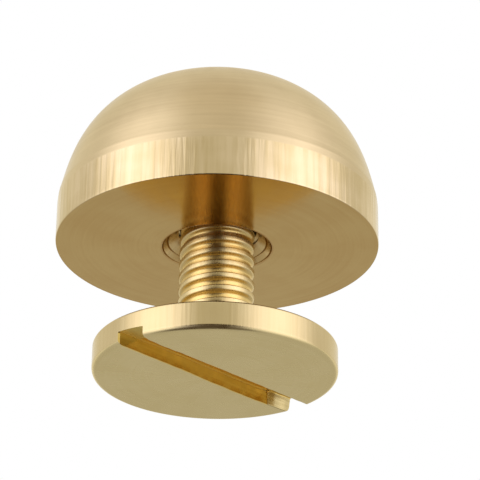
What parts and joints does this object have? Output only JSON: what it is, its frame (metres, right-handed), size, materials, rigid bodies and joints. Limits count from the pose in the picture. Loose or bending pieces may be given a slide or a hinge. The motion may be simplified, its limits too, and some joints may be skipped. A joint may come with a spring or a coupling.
{
  "type": "purse foot",
  "caption": "Domed brass purse foot with a flat base and a slotted flat-head screw that threads into it through the bag's bottom.",
  "frame": {"origin": "on the common axis of foot and screw, in the screw head's slotted face, on which the open pair stands", "axes": "+Z along the axis from the screw's head to the foot's dome; the screw slot runs 46 degrees from +X towards +Y"},
  "size_m": [0.012, 0.012, 0.0116],
  "materials": {
    "foot_brass": "satin turned brass",
    "screw_brass": "turned brass, fine"
  },
  "bodies": {
    "screw": {"slotted_screw": "screw_brass"},
    "foot": {"domed_foot": "foot_brass"}
  },
  "joints": [
    {"name": "foot_travel", "type": "slide", "parent": "screw", "child": "foot", "axis": [0, 0, 1], "range_m": [-0.0027, 0.0025]}
  ]
}
